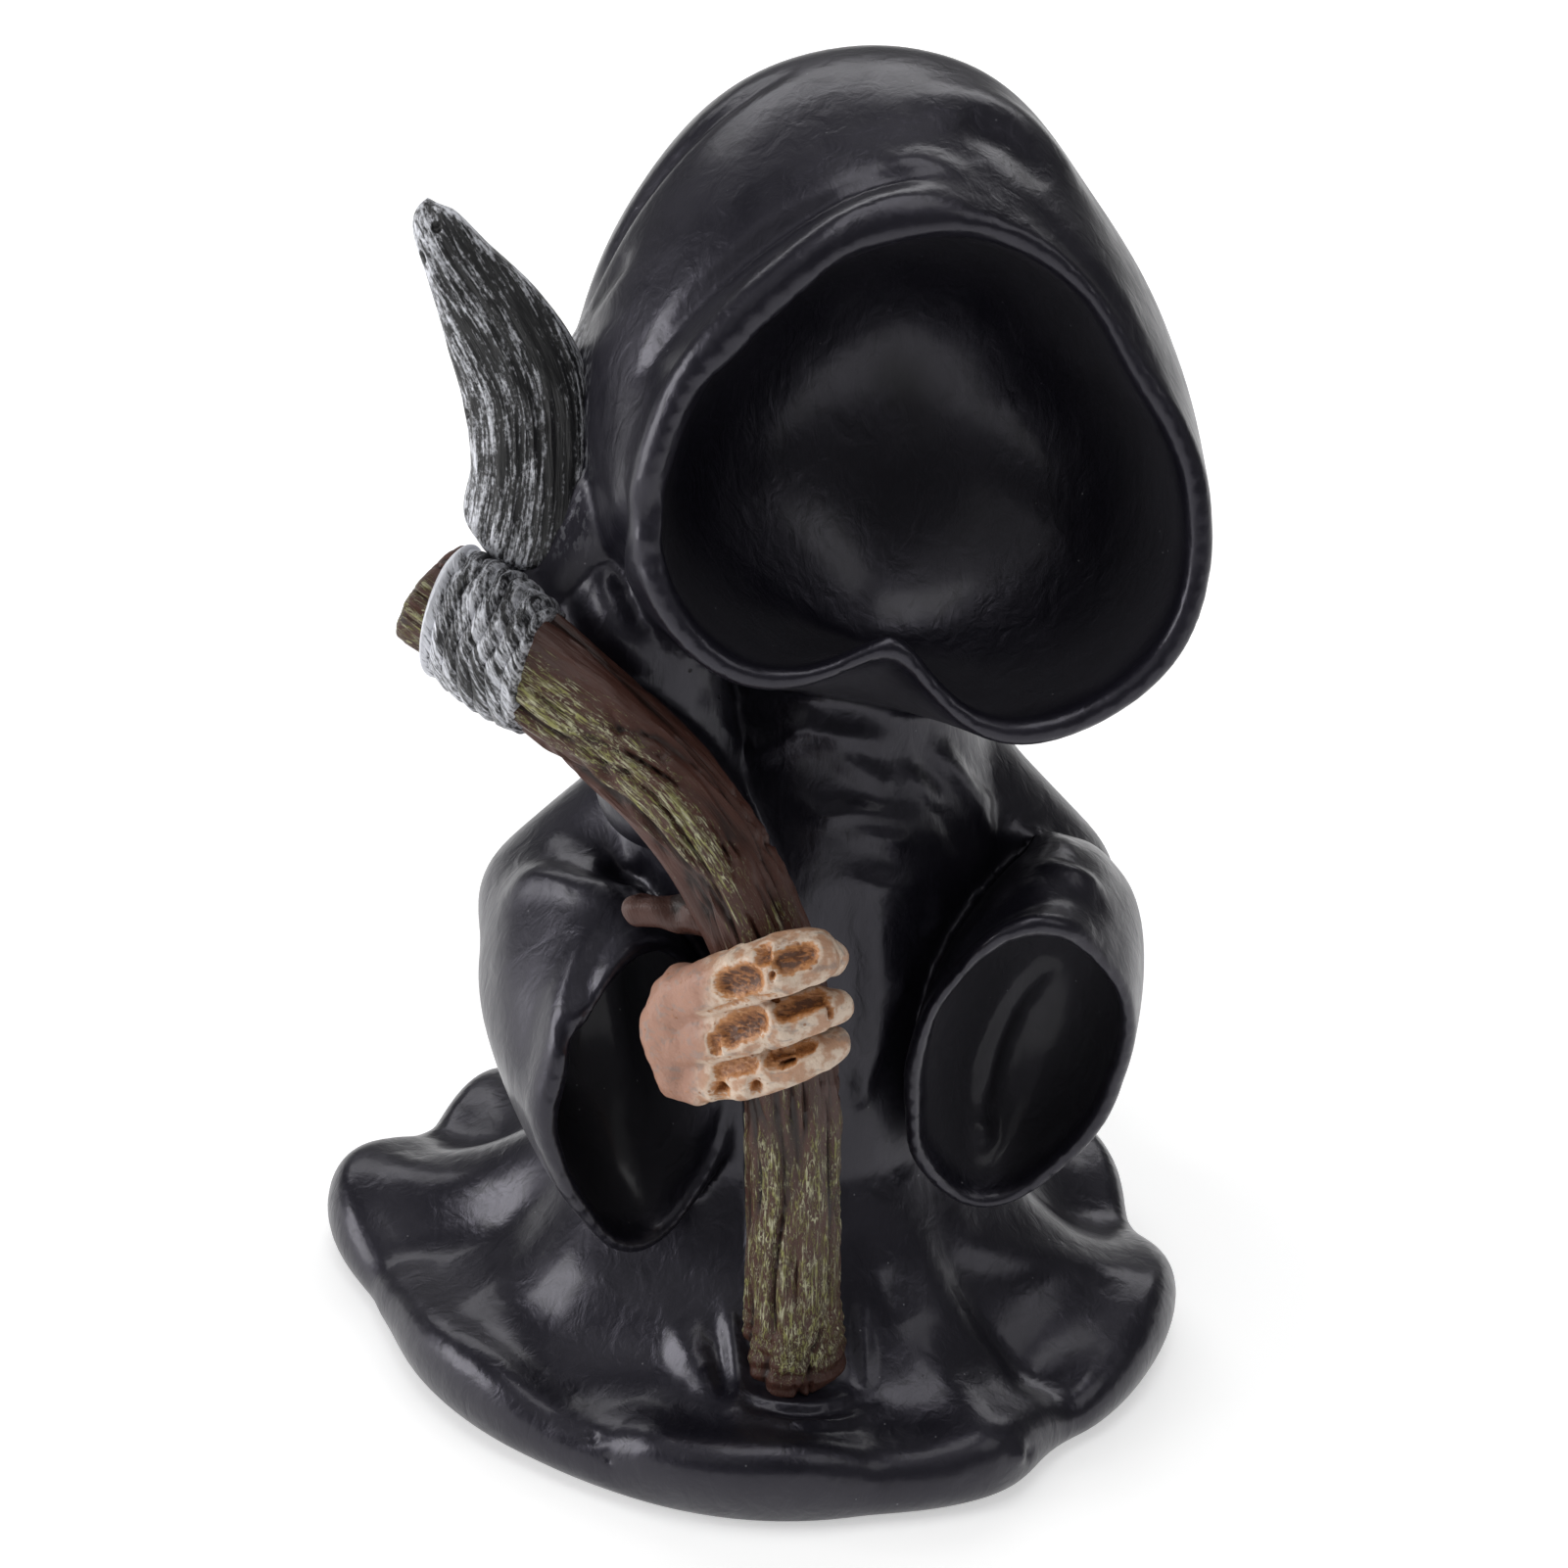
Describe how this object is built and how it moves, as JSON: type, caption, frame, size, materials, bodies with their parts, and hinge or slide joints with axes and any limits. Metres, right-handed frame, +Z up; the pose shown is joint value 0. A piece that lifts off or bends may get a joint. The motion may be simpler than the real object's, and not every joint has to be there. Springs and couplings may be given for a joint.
{
  "type": "grim reaper figurine",
  "caption": "Small resin figurine of a hooded reaper with an empty hood and open sleeves, a bone hand holding a wooden scythe, on a spreading rolled hem.",
  "frame": {"origin": "middle of the figure's outline, on the surface it stands on", "axes": "+Z up, the figure faces -Y, and the scythe is on its right, towards -X"},
  "size_m": [0.084, 0.082, 0.1312],
  "materials": {
    "painted_resin": "cast resin under glossy black lacquer, with a dark brown shaft rubbed in yellow green, a black blade and socket brushed over in silver, and a pale pink bone hand washed in brown"
  },
  "bodies": {
    "root": {"figurine": "painted_resin"}
  },
  "joints": []
}
